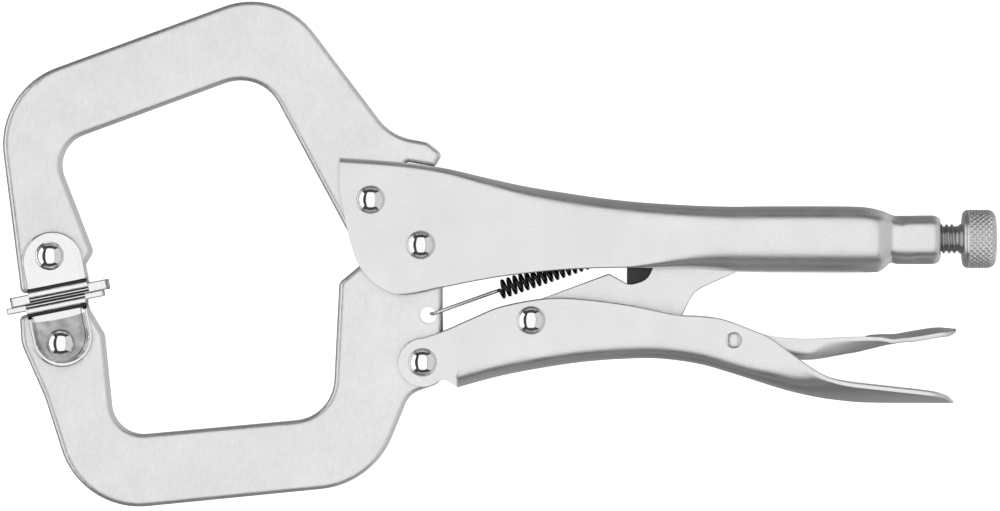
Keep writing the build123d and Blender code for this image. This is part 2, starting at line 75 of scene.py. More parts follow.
def piece_from(bm, name, materials, body, replaced, smooth_angle=35.0):
    """Turns a bmesh into a smooth-shaded piece that rides on a body and stands in for CAD nodes."""
    bmesh.ops.recalc_face_normals(bm, faces=bm.faces)
    mesh = bpy.data.meshes.new(name)
    bm.to_mesh(mesh)
    bm.free()
    for material in materials:
        mesh.materials.append(material)
    mesh.shade_smooth()
    mesh.set_sharp_from_angle(angle=radians(smooth_angle))
    piece = bpy.data.objects.new(name, mesh)
    bpy.context.scene.collection.objects.link(piece)
    if body:
        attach(piece, body)
    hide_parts(*replaced)
    return piece


def add_rows(bm, rows, closed=True):
    """Skins a list of equally long vertex rows with quads; closed rows wrap round."""
    verts = [[bm.verts.new(point) for point in row] for row in rows]
    count = len(verts[0])
    for lower, upper in zip(verts, verts[1:]):
        for i in range(count if closed else count - 1):
            j = (i + 1) % count
            bm.faces.new((lower[i], lower[j], upper[j], upper[i]))
    return verts


def cap(bm, row):
    """Closes a row of vertices with a fan round their middle."""
    middle = sum((vert.co for vert in row), Vector()) / len(row)
    hub = bm.verts.new(middle)
    for i, vert in enumerate(row):
        bm.faces.new((vert, row[(i + 1) % len(row)], hub))


def join_rings(bm, first, second):
    """Joins two rings of equally many vertices with quads."""
    for i in range(len(first)):
        k = (i + 1) % len(first)
        bm.faces.new((first[i], first[k], second[k], second[i]))


def triangle_wave(phase):
    """Rises from 0 to 1 and falls back once per unit of phase."""
    phase = phase % 1.0
    return 2 * phase if phase < 0.5 else 2 - 2 * phase


# ---------------------------------------------------------------- materials

BEVEL_SAMPLES = 6
SHADE_ROUNDING = 0.00025
CLOUD_SCALE = 160.0
# Lighter edges: part wear, part painted highlight.
WEAR_AND_HIGHLIGHT_RADIUS = 0.0005
WEAR_AND_HIGHLIGHT_GAIN = 1.08


class Nodes:
    """Short way to add and join shader nodes of one material."""

    def __init__(self, name):
        self.material = bpy.data.materials.new(name)
        self.material.use_nodes = True
        self.tree = self.material.node_tree
        self.shader = self.tree.nodes["Principled BSDF"]
        place = self.tree.nodes.new("ShaderNodeTexCoord")
        self.place = place.outputs["Object"]

    def link(self, output, socket):
        """Joins an output to an input socket."""
        self.tree.links.new(output, socket)

    def noise(self, scale, detail=3.0, stretch=None):
        """Noise in object space; stretch scales the three axes before it is read."""
        source = self.place
        if stretch:
            mapping = self.tree.nodes.new("ShaderNodeMapping")
            mapping.inputs["Scale"].default_value = stretch
            self.link(source, mapping.inputs["Vector"])
            source = mapping.outputs["Vector"]
        node = self.tree.nodes.new("ShaderNodeTexNoise")
        node.inputs["Scale"].default_value = scale
        node.inputs["Detail"].default_value = detail
        self.link(source, node.inputs["Vector"])
        return node.outputs["Fac"]

    def ramp(self, value, low, high, start=0.3, end=0.7):
        """Remaps a value from start..end to low..high."""
        node = self.tree.nodes.new("ShaderNodeMapRange")
        node.inputs["From Min"].default_value = start
        node.inputs["From Max"].default_value = end
        node.inputs["To Min"].default_value = low
        node.inputs["To Max"].default_value = high
        self.link(value, node.inputs["Value"])
        return node.outputs["Result"]

    def math(self, operation, first, second):
        """Result of a maths operation on two values, each a number or a socket."""
        node = self.tree.nodes.new("ShaderNodeMath")
        node.operation = operation
        for socket, value in zip(node.inputs, (first, second)):
            if isinstance(value, float):
                socket.default_value = value
            else:
                self.link(value, socket)
        return node.outputs["Value"]

    def mix(self, factor, first, second):
        """Mixes two colours by a factor."""
        node = self.tree.nodes.new("ShaderNodeMix")
        node.data_type = "RGBA"
        self.link(factor, node.inputs["Factor"])
        for socket, colour in ((node.inputs["A"], first), (node.inputs["B"], second)):
            if isinstance(colour, tuple):
                socket.default_value = (*colour, 1.0)
            else:
                self.link(colour, socket)
        return node.outputs["Result"]

    def rounded(self, radius):
        """Normal with the edges rounded off by the given radius."""
        bevel = self.tree.nodes.new("ShaderNodeBevel")
        bevel.samples = BEVEL_SAMPLES
        bevel.inputs["Radius"].default_value = radius
        return bevel.outputs["Normal"]

    def edges(self, radius):
        """Mask that is 1 along convex and concave edges and 0 on open faces."""
        rounded = self.rounded(radius)
        surface = self.tree.nodes.new("ShaderNodeNewGeometry")
        dot = self.tree.nodes.new("ShaderNodeVectorMath")
        dot.operation = "DOT_PRODUCT"
        self.link(rounded, dot.inputs[0])
        self.link(surface.outputs["Normal"], dot.inputs[1])
        return self.ramp(dot.outputs["Value"], 1.0, 0.0, 0.80, 0.995)

    def bump(self, height, distance, normal):
        """Normal disturbed by a height map of the given depth in metres."""
        node = self.tree.nodes.new("ShaderNodeBump")
        node.inputs["Distance"].default_value = distance
        node.inputs["Strength"].default_value = 1.0
        self.link(height, node.inputs["Height"])
        self.link(normal, node.inputs["Normal"])
        return node.outputs["Normal"]


def metal(name, light, dark, roughness, spread=0.08, grain=0.00003, grain_scale=1600.0,
          streak=(1.0, 1.0, 1.0), edge=0.25, mottle_scale=45.0):
    """Plated or bare steel: mottled colour, fine grain, streaks and lighter edges, part wear and part
    painted highlight.

    spread is how far the roughness varies, and grain the depth of the grain in metres. streak
    stretches the grain along the three axes, and edge is how strongly the lighter edges show.
    """
    nodes = Nodes(name)
    mottle = nodes.noise(mottle_scale, 4.0)
    fine = nodes.noise(grain_scale, stretch=streak)
    cloud = nodes.noise(CLOUD_SCALE)
    colour = nodes.mix(nodes.ramp(mottle, 0.0, 1.0), dark, light)
    speck = nodes.ramp(fine, 0.94, 1.03, 0.25, 0.75)
    tint = nodes.tree.nodes.new("ShaderNodeVectorMath")
    tint.operation = "SCALE"
    nodes.link(colour, tint.inputs[0])
    nodes.link(speck, tint.inputs["Scale"])
    # Lighter colour along convex and concave edges: part wear, part painted highlight.
    wear_and_highlight = nodes.edges(WEAR_AND_HIGHLIGHT_RADIUS)
    bright = tuple(min(1.0, channel * WEAR_AND_HIGHLIGHT_GAIN) for channel in light)
    base = nodes.mix(nodes.math("MULTIPLY", wear_and_highlight, edge), tint.outputs["Vector"], bright)
    sheen = nodes.ramp(cloud, roughness - spread / 2, roughness + spread / 2)
    normal = nodes.bump(fine, grain, nodes.rounded(SHADE_ROUNDING))
    nodes.link(base, nodes.shader.inputs["Base Color"])
    nodes.link(sheen, nodes.shader.inputs["Roughness"])
    nodes.link(normal, nodes.shader.inputs["Normal"])
    nodes.shader.inputs["Metallic"].default_value = 1.0
    return nodes.material


satin_nickel = metal("satin_nickel", (0.80, 0.80, 0.80), (0.75, 0.75, 0.75), 0.34)
forged_nickel = metal("forged_nickel", (0.82, 0.82, 0.82), (0.77, 0.77, 0.77), 0.40,
                      grain=0.00006, grain_scale=1100.0, streak=(1.2, 0.6, 1.0))
bright_nickel = metal("bright_nickel", (0.88, 0.88, 0.88), (0.80, 0.80, 0.80), 0.16,
                      grain=0.00001)
polished_steel = metal("polished_steel", (0.95, 0.95, 0.95), (0.90, 0.90, 0.90), 0.05,
                       spread=0.03, grain=0.000003, edge=0.05)
screw_steel = metal("screw_steel", (0.55, 0.55, 0.55), (0.42, 0.42, 0.42), 0.30,
                    grain=0.00002)
knurled_steel = metal("knurled_steel", (0.80, 0.80, 0.80), (0.66, 0.66, 0.66), 0.30,
                      grain=0.00002)
# Black steel for parts given this finish; also laid as painted shade in the pads' grooves and on the
# spring's coil.
black_oxide = metal("black_oxide", (0.05, 0.05, 0.053), (0.03, 0.03, 0.032), 0.24,
                    grain=0.00001)
# Darker streaky nickel laid in the lower pad's dish: painted shade standing in for the dark
# reflection of the hollow.
dish_painted_shade = metal("dish_painted_shade", (0.58, 0.58, 0.58), (0.22, 0.22, 0.22), 0.26,
                      spread=0.12, grain=0.00006, grain_scale=500.0, streak=(0.4, 1.6, 1.0),
                      mottle_scale=230.0)
spring_wire = metal("spring_wire", (0.72, 0.72, 0.72), (0.60, 0.60, 0.60), 0.22,
                    grain=0.00001)

FINISHES = {
    "satin_nickel": satin_nickel,
    "forged_nickel": forged_nickel,
    "bright_nickel": bright_nickel,
    "polished_steel": polished_steel,
    "screw_steel": screw_steel,
    "knurled_steel": knurled_steel,
    "black_oxide": black_oxide,
}

for part in frame["record"]["subparts"]:
    node = frame["nodes"][part["node"]]
    node.data.materials.clear()
    node.data.materials.append(FINISHES[part["material_slot"]])


# ---------------------------------------------------------------- folded sheet steel

def curve(*points):
    """Smooth function of x through (x, y) points, held level beyond its ends."""
    xs = [x for x, _ in points]
    ys = [y for _, y in points]
    last = len(points) - 1
    slopes = []
    for k in range(last + 1):
        a, b = max(k - 1, 0), min(k + 1, last)
        slopes.append((ys[b] - ys[a]) / (xs[b] - xs[a]))

    def value(x):
        x = min(max(x, xs[0]), xs[-1])
        k = max(0, min(last - 1, sum(1 for knot in xs[1:] if knot <= x)))
        width = xs[k + 1] - xs[k]
        t = (x - xs[k]) / width
        rise = t * t * (3 - 2 * t)
        return (ys[k] + (ys[k + 1] - ys[k]) * rise
                + width * slopes[k] * t * (1 - t)**2 - width * slopes[k + 1] * t * t * (1 - t))

    return value


def smoothstep(start, end, x):
    """Rises smoothly from 0 at start to 1 at end."""
    t = min(1.0, max(0.0, (x - start) / (end - start)))
    return t * t * (3 - 2 * t)


# Cells across half a section: lip, its rounding, wall, bend and web.
LIP_STEPS = 4
CORNER_STEPS = 12
WALL_STEPS = 14
WEB_STEPS = 4
FIRST_WALL = LIP_STEPS + CORNER_STEPS
FIRST_WEB = FIRST_WALL + WALL_STEPS + CORNER_STEPS
LAST_COLUMN = 2 * (FIRST_WEB + WEB_STEPS)


def half_section(half, edge, web, corner, corner_depth=None, lip=0.0, gap=None, slant=0.0):
    """(y, z) points of half a channel, from its open lip round to the middle of its web.

    half is the half width, edge and web the heights of the lip and the web, corner the bend's
    size along y and corner_depth along z. A lip curls the open side in by its radius until it
    stops at the gap. slant is how far the bend is straightened into a slope, from 0 to 1.
    """
    way = 1 if web > edge else -1
    depth = corner if corner_depth is None else corner_depth
    gap = half if gap is None else gap
    points = []
    for k in range(LIP_STEPS):
        points.append((edge, gap + (half - lip - gap) * k / LIP_STEPS))
    for k in range(CORNER_STEPS):
        angle = pi / 2 * k / CORNER_STEPS
        points.append((edge + way * lip * (1 - cos(angle)), half - lip + lip * sin(angle)))
    start = edge + way * lip
    end = web - way * corner
    for k in range(WALL_STEPS):
        t = (k / WALL_STEPS)**2
        points.append((start + (end - start) * t, half))
    for k in range(CORNER_STEPS):
        t = k / CORNER_STEPS
        fall = (1 - slant) * sin(pi / 2 * t) + slant * t
        spread = (1 - slant) * cos(pi / 2 * t) + slant * (1 - t)
        points.append((end + way * corner * fall, half - depth + depth * spread))
    for k in range(WEB_STEPS + 1):
        points.append((web, (half - depth) * (1 - k / WEB_STEPS)))
    return points


def whole_section(half_points):
    """Adds the far half, mirrored about the middle plane."""
    return half_points + [(y, -z) for y, z in reversed(half_points[:-1])]


def is_web(column):
    """Whether the cell after this column belongs to the flat web."""
    return FIRST_WEB <= column < LAST_COLUMN - FIRST_WEB


def is_lip(column):
    """Whether the cell after this column belongs to the lip of either wall."""
    return min(column, LAST_COLUMN - 1 - column) < LIP_STEPS


def from_section(x, section):
    """Points in metres of a (y, z) section in millimetres, at x, about the middle plane."""
    return [Vector((x, y, z)) * MM + Vector((0, 0, MID)) for y, z in section]


def folded_sheet(outer, inner, keep):
    """Closed sheet between two grids of points, where keep(row, column) says which cells exist."""
    bm = bmesh.new()
    skins = [[[bm.verts.new(point) for point in row] for row in grid] for grid in (outer, inner)]
    rows, columns = len(outer) - 1, len(outer[0]) - 1

    def kept(j, i):
        return 0 <= j < rows and 0 <= i < columns and keep(j, i)

    for j in range(rows):
        for i in range(columns):
            if not kept(j, i):
                continue
            corners = ((j, i), (j, i + 1), (j + 1, i + 1), (j + 1, i))
            for skin in skins:
                bm.faces.new([skin[a][b] for a, b in corners])
            beside = ((j - 1, i), (j, i + 1), (j + 1, i), (j, i - 1))
            for k, cell in enumerate(beside):
                if not kept(*cell):
                    (a, b), (c, d) = corners[k], corners[(k + 1) % 4]
                    bm.faces.new((skins[0][a][b], skins[0][c][d], skins[1][c][d], skins[1][a][b]))
    bmesh.ops.delete(bm, geom=[vert for vert in bm.verts if not vert.link_faces], context="VERTS")
    bmesh.ops.remove_doubles(bm, verts=bm.verts, dist=WELD_DISTANCE)
    bmesh.ops.dissolve_degenerate(bm, edges=bm.edges, dist=0.000005)
    return bm


def sheet_piece(bm, node, width):
    """Stands a folded sheet in for its CAD node, with its cut edges rounded by the width."""
    piece = piece_from(bm, node + "_shell", [satin_nickel], node, [node],
                       smooth_angle=40.0)
    bevel = piece.modifiers.new("edges", "BEVEL")
    bevel.width = width
    bevel.segments = 3
    bevel.limit_method = "ANGLE"
    bevel.angle_limit = radians(50)
    bevel.harden_normals = False


SHEET = 1.9
SHEET_HALF = 7.7
RIM_ROUNDING = 0.55
CUT_ROUNDING = 0.38 * MM


# ---------------------------------------------------------------- upper handle

# Outlines in millimetres: height against place along the clamp.
BACK = curve((-45.2, 27.3), (-30.0, 26.2), (-16.2, 24.4), (-5.2, 21.9), (6.6, 19.3), (16.8, 17.6),
             (30.3, 15.65), (43.8, 14.4), (62.0, 13.55), (76.0, 13.6), (92.0, 13.6), (102.5, 13.35),
             (107.5, 12.3), (110.8, 11.0), (112.5, 10.95), (122.4, 11.05))
BELLY = curve((-26.6, -11.4), (-23.0, -10.9), (-16.2, -9.3), (-0.4, -6.3), (16.8, -4.4), (30.3, -3.8),
              (49.2, -3.85), (58.8, -4.3), (67.0, -4.9), (80.0, -5.1), (106.0, -5.0), (108.0, -4.0),
              (110.0, -2.3), (111.5, -2.7), (122.4, -2.75))
# Place of the slanted front edge against how far up it a point lies, from 0 to 1.
FRONT = curve((0.0, -26.6), (0.1135, -30.3), (0.238, -34.0), (0.37, -37.7), (0.525, -40.9),
              (0.795, -44.3), (0.9, -45.3), (1.0, -45.2))
FRONT_ROWS = 10
NOTCH_ROWS = 6
FRONT_END = -14.0
LIP_START = 30.5
TUBE_HALF = 9.3
CHANNEL_BEND = 2.5
BEND_GROWTH = 2.7
TUBE_CORNER = 0.34
TUBE_ROUND = 0.485
TUBE_SLOT = 2.5
NECK_SLOT = 0.06
NECK_START = 100.0
NECK_LAST_SECTION = 122.0
NECK_END = 124.0
NECK_END_ROWS = 6
NECK_AXIS = 4.1
NECK_RADIUS = 6.9
NECK_ROUNDING = 1.7


def upper_section(x, low, high, inset):
    """Half section at x between two heights, drawn in by the inset.

    The channel's walls are rolled in under it to make the tube, whose slot closes at the neck.
    """
    tube = smoothstep(26.0, 66.0, x)
    height = high - low
    half = SHEET_HALF + (TUBE_HALF - SHEET_HALF) * tube
    if x > NECK_START:
        half = TUBE_HALF + (height / 2 - TUBE_HALF) * smoothstep(NECK_START, 110.0, x)
    bend = CHANNEL_BEND + BEND_GROWTH * smoothstep(-26.0, 22.0, x)
    corner = bend + (TUBE_CORNER * height - bend) * tube
    lip = max(RIM_ROUNDING, TUBE_ROUND * height * smoothstep(30.0, 68.0, x))
    slot = TUBE_SLOT - (TUBE_SLOT - NECK_SLOT) * smoothstep(101.0, 108.0, x)
    gap = min(half, max(slot, half - lip - 6.0 * smoothstep(48.0, 72.0, x)))
    return half_section(
        half - inset, low + min(inset, lip), high - inset, max(corner - inset, 0.1),
        lip=max(lip - inset, 0.0), gap=min(gap, half - inset)
    )


def near(distance, width):
    """1 at no distance, falling smoothly to 0 at the width."""
    return smoothstep(width, 0.0, abs(distance))


def crimp(x, y, z):
    """Dents that the crimping tool leaves in the neck, as a fraction drawn in."""
    angle = atan2(y - NECK_AXIS, abs(z))
    neck = smoothstep(109.5, 111.5, x) * (1 - smoothstep(121.0, 123.0, x))
    top_dent = 0.025 * near(x - 112.8, 2.6) * near(angle - 0.75, 0.45)
    fold = 0.030 * smoothstep(119.0, 117.0, x) * near(angle + 0.17, 0.09)
    under = 0.035 * (0.5 + 0.5 * sin(0.7 * x)) * near(angle + 1.0, 0.35)
    return neck * (top_dent + fold + under)


def upper_row(blend, x, inset):
    """Points round one section; blend runs from 0 on the slanted front edge to 1 behind it."""
    top_x = (1 - blend) * FRONT(1.0) + blend * x
    foot_x = (1 - blend) * FRONT(0.0) + blend * x
    low, high = BELLY(foot_x), BACK(top_x)
    row = []
    for y, z in whole_section(upper_section(top_x, low, high, inset)):
        along = min(1.0, max(0.0, (y - low) / (high - low)))
        place = (1 - blend) * FRONT(sqrt(along)) + blend * x
        drawn = 1 - crimp(x, y, z)
        point = Vector((place, NECK_AXIS + (y - NECK_AXIS) * drawn, z * drawn))
        row.append(point * MM + Vector((0, 0, MID)))
    return row


def neck_rows(neck, rounding):
    """Rows that carry the neck's last section on to its end and round it off."""
    start = neck[0].x
    rows = []
    for k in range(1, NECK_END_ROWS + 1):
        turn = sin(pi / 2 * k / NECK_END_ROWS)
        x = start + (NECK_END * MM - start) * turn
        drawn = 1 - rounding * (1 - sqrt(max(0.0, 1 - turn**2))) / NECK_RADIUS
        rows.append([
            Vector((x, NECK_AXIS * MM + (point.y - NECK_AXIS * MM) * drawn,
                    MID + (point.z - MID) * drawn))
            for point in neck
        ])
    return rows


def upper_handle():
    """Channel in front, rolled tube behind and a crimped neck, from one folded sheet."""
    stations = [(k / FRONT_ROWS, FRONT_END) for k in range(FRONT_ROWS)]
    positions = [FRONT_END + 2.4 * k for k in range(48)]
    positions += [101.2 + 0.75 * k for k in range(28)]
    stations += [(1.0, x) for x in positions if x < NECK_LAST_SECTION]
    grids = []
    for inset in (0.0, SHEET):
        rows = [upper_row(blend, x, inset) for blend, x in stations]
        rows += neck_rows(rows[-1], 0.0 if inset else NECK_ROUNDING)
        grids.append(rows)

    def keep(row, column):
        x = stations[min(row, len(stations) - 1)][1]
        in_notch = row < NOTCH_ROWS and is_web(column)
        return not in_notch and not (x < LIP_START and is_lip(column))

    return folded_sheet(grids[0], grids[1], keep)


sheet_piece(upper_handle(), "upper_handle", CUT_ROUNDING)


# ---------------------------------------------------------------- lower handle

# Outlines in millimetres: height of the walls' top and of the web against place.
GRIP_TOP = curve((-21.9, -23.4), (-15.6, -21.3), (-7.2, -17.6), (-0.4, -14.8), (11.4, -12.5),
                 (20.0, -12.3), (34.8, -14.0), (50.3, -17.0), (56.2, -17.3), (62.7, -18.2),
                 (71.8, -21.6), (75.4, -23.1), (83.3, -28.9), (90.1, -33.4), (96.0, -35.4),
                 (109.5, -37.1), (121.4, -38.5), (125.4, -39.5), (127.5, -41.2))
GRIP_WEB = curve((-12.0, -37.4), (-0.4, -34.3), (11.4, -32.0), (23.0, -30.3), (34.8, -29.4),
                 (45.0, -29.35), (56.2, -30.9), (65.0, -33.4), (79.9, -38.1), (89.0, -40.2),
                 (96.0, -41.2), (102.8, -41.75), (127.5, -41.9))
KNUCKLE_X, KNUCKLE_Y = -21.9, -30.3
KNUCKLE_RADIUS = 6.9
KNUCKLE_NECK = curve((-17.4, -35.55), (-15.6, -35.3), (-14.2, -36.0), (-12.0, -37.4))
KNUCKLE_NECK_START = -17.4
KNUCKLE_BEND = 3.3
WEB_START = -12.0
GRIP_BEND = 5.6
TAIL_FLARE = 2.6
TAIL_ROUNDING = 7.5
TAIL_SLANT = 0.6
TAIL_TIP = 127.5


def knuckle_reach(x):
    """Half height of the round knuckle at x."""
    return sqrt(max(0.0, KNUCKLE_RADIUS**2 - (x - KNUCKLE_X)**2))


def wall_foot(x):
    """Lower edge of the walls in front of the web."""
    if x < KNUCKLE_NECK_START:
        return KNUCKLE_Y - knuckle_reach(x)
    return KNUCKLE_NECK(x)


def wall_top(x):
    """Upper edge of the walls, round the knuckle and along the grip."""
    if x < KNUCKLE_X:
        return KNUCKLE_Y + knuckle_reach(x)
    return GRIP_TOP(x)


def grip_half(x):
    """Half width of the lower handle, flared and rounded at the tail."""
    half = SHEET_HALF + TAIL_FLARE * smoothstep(74.0, 102.0, x)
    past = x - TAIL_TIP + TAIL_ROUNDING
    if past > 0:
        half += sqrt(max(0.0, TAIL_ROUNDING**2 - past**2)) - TAIL_ROUNDING
    return half


def open_edge(low, high, inset):
    """Lip radius and height of a wall's open edge, for the outer or the inset skin."""
    rim = min(RIM_ROUNDING, 0.25 * (high - low))
    if inset:
        return 0.0, high - 0.3 * rim
    return rim, high


def knuckle_section(x, inset):
    """Half section of the two walls in front of the web, drawn in by the inset."""
    low, high = wall_foot(x), wall_top(x)
    lip, edge = open_edge(low, high, inset)
    half = grip_half(x) - inset
    bend = min(KNUCKLE_BEND, 0.45 * (high - low))
    return half_section(half, edge, low, bend, 0.0, lip=lip, gap=half - lip)


def grip_section(x, inset):
    """Half section of the channel and its flattened tail, drawn in by the inset."""
    low, high = GRIP_WEB(x), wall_top(x)
    lip, edge = open_edge(low, high, inset)
    height = high - low
    half = grip_half(x)
    bend = GRIP_BEND + (max(0.4, height - 1.3) - GRIP_BEND) * smoothstep(66.0, 96.0, x)
    bend = min(bend, 0.8 * height)
    depth = bend + (0.95 * half - bend) * smoothstep(74.0, 92.0, x)
    sunk = min(inset, 0.7 * height)
    drawn_half = half - min(inset, 0.8 * half)
    slant = 0.0 if inset else TAIL_SLANT * smoothstep(80.0, 94.0, x)
    return half_section(
        drawn_half, edge, low + sunk, max(bend - sunk, 0.1),
        max(min(depth, 0.95 * half) - inset, 0.1), lip=lip, gap=drawn_half - lip, slant=slant
    )


def lower_handle():
    """Knuckle walls, a channel open towards the link and a round-ended tail."""
    knuckle = [KNUCKLE_X - KNUCKLE_RADIUS * cos(pi / 2 * (k + 0.35) / 12) for k in range(12)]
    knuckle += [KNUCKLE_X + (WEB_START - 0.3 - KNUCKLE_X) * k / 12 for k in range(13)]
    tail_start = TAIL_TIP - TAIL_ROUNDING
    grip = [WEB_START + (tail_start - WEB_START) * k / 80 for k in range(81)]
    grip += [tail_start + (TAIL_ROUNDING - 0.05) * sin(pi / 2 * k / 14) for k in range(1, 15)]
    grids = []
    for inset in (0.0, SHEET):
        rows = [from_section(x, whole_section(knuckle_section(x, inset))) for x in knuckle]
        rows += [from_section(x, whole_section(grip_section(x, inset))) for x in grip]
        grids.append(rows)

    def keep(row, column):
        in_front = row < len(knuckle) and is_web(column)
        return not in_front and not is_lip(column)

    return folded_sheet(grids[0], grids[1], keep)


sheet_piece(lower_handle(), "lower_handle", CUT_ROUNDING)


# ---------------------------------------------------------------- release lever

# Outlines in millimetres: top and bottom of the lever, and how far its rims lie below its top.
LEVER_BACK = curve((57.2, -22.0), (66.0, -20.6), (77.0, -23.1), (85.6, -23.8), (96.0, -23.3),
                   (106.2, -22.45), (111.2, -22.3), (116.3, -21.4), (123.0, -20.5), (128.6, -20.9))
LEVER_EDGE = curve((57.2, -26.0), (66.0, -28.9), (84.2, -29.7), (89.0, -29.5), (96.0, -28.3),
                   (102.8, -27.1), (109.5, -25.5), (113.8, -24.8), (118.0, -24.9), (123.0, -24.1),
                   (127.0, -22.9), (128.6, -22.0))
LEVER_RIM = curve((57.2, 0.0), (96.0, 0.0), (102.0, 0.35), (107.0, 0.9), (110.6, 1.5), (114.5, 1.75),
                  (121.0, 1.8), (128.6, 0.8))
LEVER_START = 57.2
LEVER_TIP = 128.6
LEVER_HALF = 5.35
LEVER_SHEET = 1.3
LEVER_BEND = 2.8
LEVER_ROUNDING = 4.5
LEVER_CUT_ROUNDING = 0.2 * MM


def offset(points, distance):
    """Moves a (y, z) polyline sideways by the distance."""
    moved = []
    for k, (y, z) in enumerate(points):
        before = points[max(k - 1, 0)]
        after = points[min(k + 1, len(points) - 1)]
        rise, run = after[0] - before[0], after[1] - before[1]
        size = hypot(rise, run)
        moved.append((y + distance * run / size, z - distance * rise / size))
    return moved


def lever_section(x):
    """Middle line of the lever's sheet: a channel whose web rises into an arched finger tab."""
    skin = LEVER_SHEET / 2
    low, high = LEVER_EDGE(x) + skin, LEVER_BACK(x) - skin
    half = LEVER_HALF - skin
    past = x - LEVER_TIP + LEVER_ROUNDING
    if past > 0:
        half += sqrt(LEVER_ROUNDING**2 - past**2) - LEVER_ROUNDING
    rim = max(low + 0.25, LEVER_BACK(x) - LEVER_RIM(x))
    height = rim - low
    flute = smoothstep(86.0, 94.0, x)
    corner = max(0.1, min(LEVER_BEND + (height - 0.7 - LEVER_BEND) * flute, 0.9 * height))
    depth = LEVER_BEND + (0.5 * half - LEVER_BEND) * flute
    points = half_section(half, rim, low, corner, depth, slant=0.8 * flute)[FIRST_WALL:]
    arch = max(0.0, high - low) * smoothstep(98.0, 104.0, x)
    spread = half * (0.5 + 0.5 * smoothstep(106.0, 118.0, x))

    def lift(z):
        return arch * max(0.0, cos(pi / 2 * min(1.0, abs(z) / spread)))**1.3

    return [(y + lift(z), z) for y, z in whole_section(points)]


def release_lever():
    """Folded strip that is open above in front and ends in a finger tab."""
    straight = LEVER_TIP - LEVER_ROUNDING - LEVER_START
    stations = [LEVER_START + straight * k / 70 for k in range(71)]
    stations += [LEVER_TIP - LEVER_ROUNDING + 4.2 * sin(pi / 2 * k / 12) for k in range(1, 13)]
    grids = [
        [from_section(x, offset(lever_section(x), distance)) for x in stations]
        for distance in (LEVER_SHEET / 2, -LEVER_SHEET / 2)
    ]
    return folded_sheet(grids[0], grids[1], lambda row, column: True)


sheet_piece(release_lever(), "release_lever", LEVER_CUT_ROUNDING)


# ---------------------------------------------------------------- adjusting screw

THREAD_PITCH = 1.5 * MM
THREAD_DEPTH = 0.75 * MM
THREAD_END = 129.0 * MM
ROUND_STEPS = 48
PITCH_STEPS = 12

screw_low, screw_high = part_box("adjusting_screw")
SCREW_RADIUS = (screw_high.y - screw_low.y) / 2
THREAD_RADIUS = SCREW_RADIUS - 0.01 * MM
COLLAR_RADIUS = SCREW_RADIUS - 0.02 * MM


def round_point(x, radius, turn):
    """Point about the tube's axis, at a fraction of a turn."""
    angle = 2 * pi * turn
    return Vector((x, TUBE_Y + radius * cos(angle), MID + radius * sin(angle)))


def ring(x, radius, count):
    """Circle of points round the tube's axis."""
    return [round_point(x, radius, i / count) for i in range(count)]


def threaded_rod(low, high):
    """Screw along X with a helical thread that fades out at both ends."""
    bm = bmesh.new()
    length = high - low
    count = ceil(length / THREAD_PITCH + 1) * PITCH_STEPS
    rows = []
    for j in range(count + 1):
        crest = triangle_wave(j / PITCH_STEPS)
        crest = min(1.0, max(0.0, 1.35 * crest - 0.12))
        row = []
        for i in range(ROUND_STEPS + 1):
            turn = i / ROUND_STEPS
            x = THREAD_PITCH * (j / PITCH_STEPS - 1 + turn)
            inside = min(max(x, 0.0), length)
            fade = min(1.0, inside / THREAD_PITCH, (length - inside) / (0.6 * THREAD_PITCH))
            depth = THREAD_DEPTH * (1 - crest * fade)
            row.append(round_point(low + inside, THREAD_RADIUS - depth, turn))
        rows.append(row)
    add_rows(bm, rows, closed=False)
    bmesh.ops.remove_doubles(bm, verts=bm.verts, dist=WELD_DISTANCE)
    bmesh.ops.dissolve_degenerate(bm, edges=bm.edges, dist=0.000001)
    open_ends = [edge for edge in bm.edges if edge.is_boundary]
    bmesh.ops.holes_fill(bm, edges=open_ends, sides=0)
    return bm


def add_collar(bm):
    """Adds the smooth collar between the thread and the knob, closed at both ends."""
    profile = [
        (THREAD_END - 0.2 * MM, SCREW_RADIUS - THREAD_DEPTH),
        (THREAD_END + 0.15 * MM, SCREW_RADIUS - 0.35 * MM),
        (THREAD_END + 0.5 * MM, COLLAR_RADIUS),
        (screw_high.x - 0.3 * MM, COLLAR_RADIUS),
    ]
    verts = add_rows(bm, [ring(x, radius, ROUND_STEPS) for x, radius in profile])
    cap(bm, verts[0])
    cap(bm, verts[-1])


screw_mesh = threaded_rod(screw_low.x, THREAD_END)
add_collar(screw_mesh)
piece_from(screw_mesh, "screw_with_thread", [screw_steel], "adjusting_screw",
           ["adjusting_screw"])


# ---------------------------------------------------------------- adjusting knob

KNURLS = 32
KNURL_DEPTH = 0.36 * MM
KNURL_START = 1.6 * MM
KNOB_SHOULDER = 1.7 * MM
KNOB_RIM = 2.5 * MM
KNOB_COLUMNS = KNURLS * 10
KNOB_ROWS = 64
BORE_RADIUS = SCREW_RADIUS + 0.05 * MM
BORE_DEPTH = 2.0 * MM
DISH_DEPTH = 0.5 * MM


def knob_drop(x, width):
    """How far the knob's outline lies inside its radius at x."""
    if x < KNOB_SHOULDER:
        return KNOB_SHOULDER - sqrt(max(0.0, KNOB_SHOULDER**2 - (KNOB_SHOULDER - x)**2))
    if x > width - KNOB_RIM:
        return KNOB_RIM - sqrt(max(0.0, KNOB_RIM**2 - (x - width + KNOB_RIM)**2))
    return 0.0


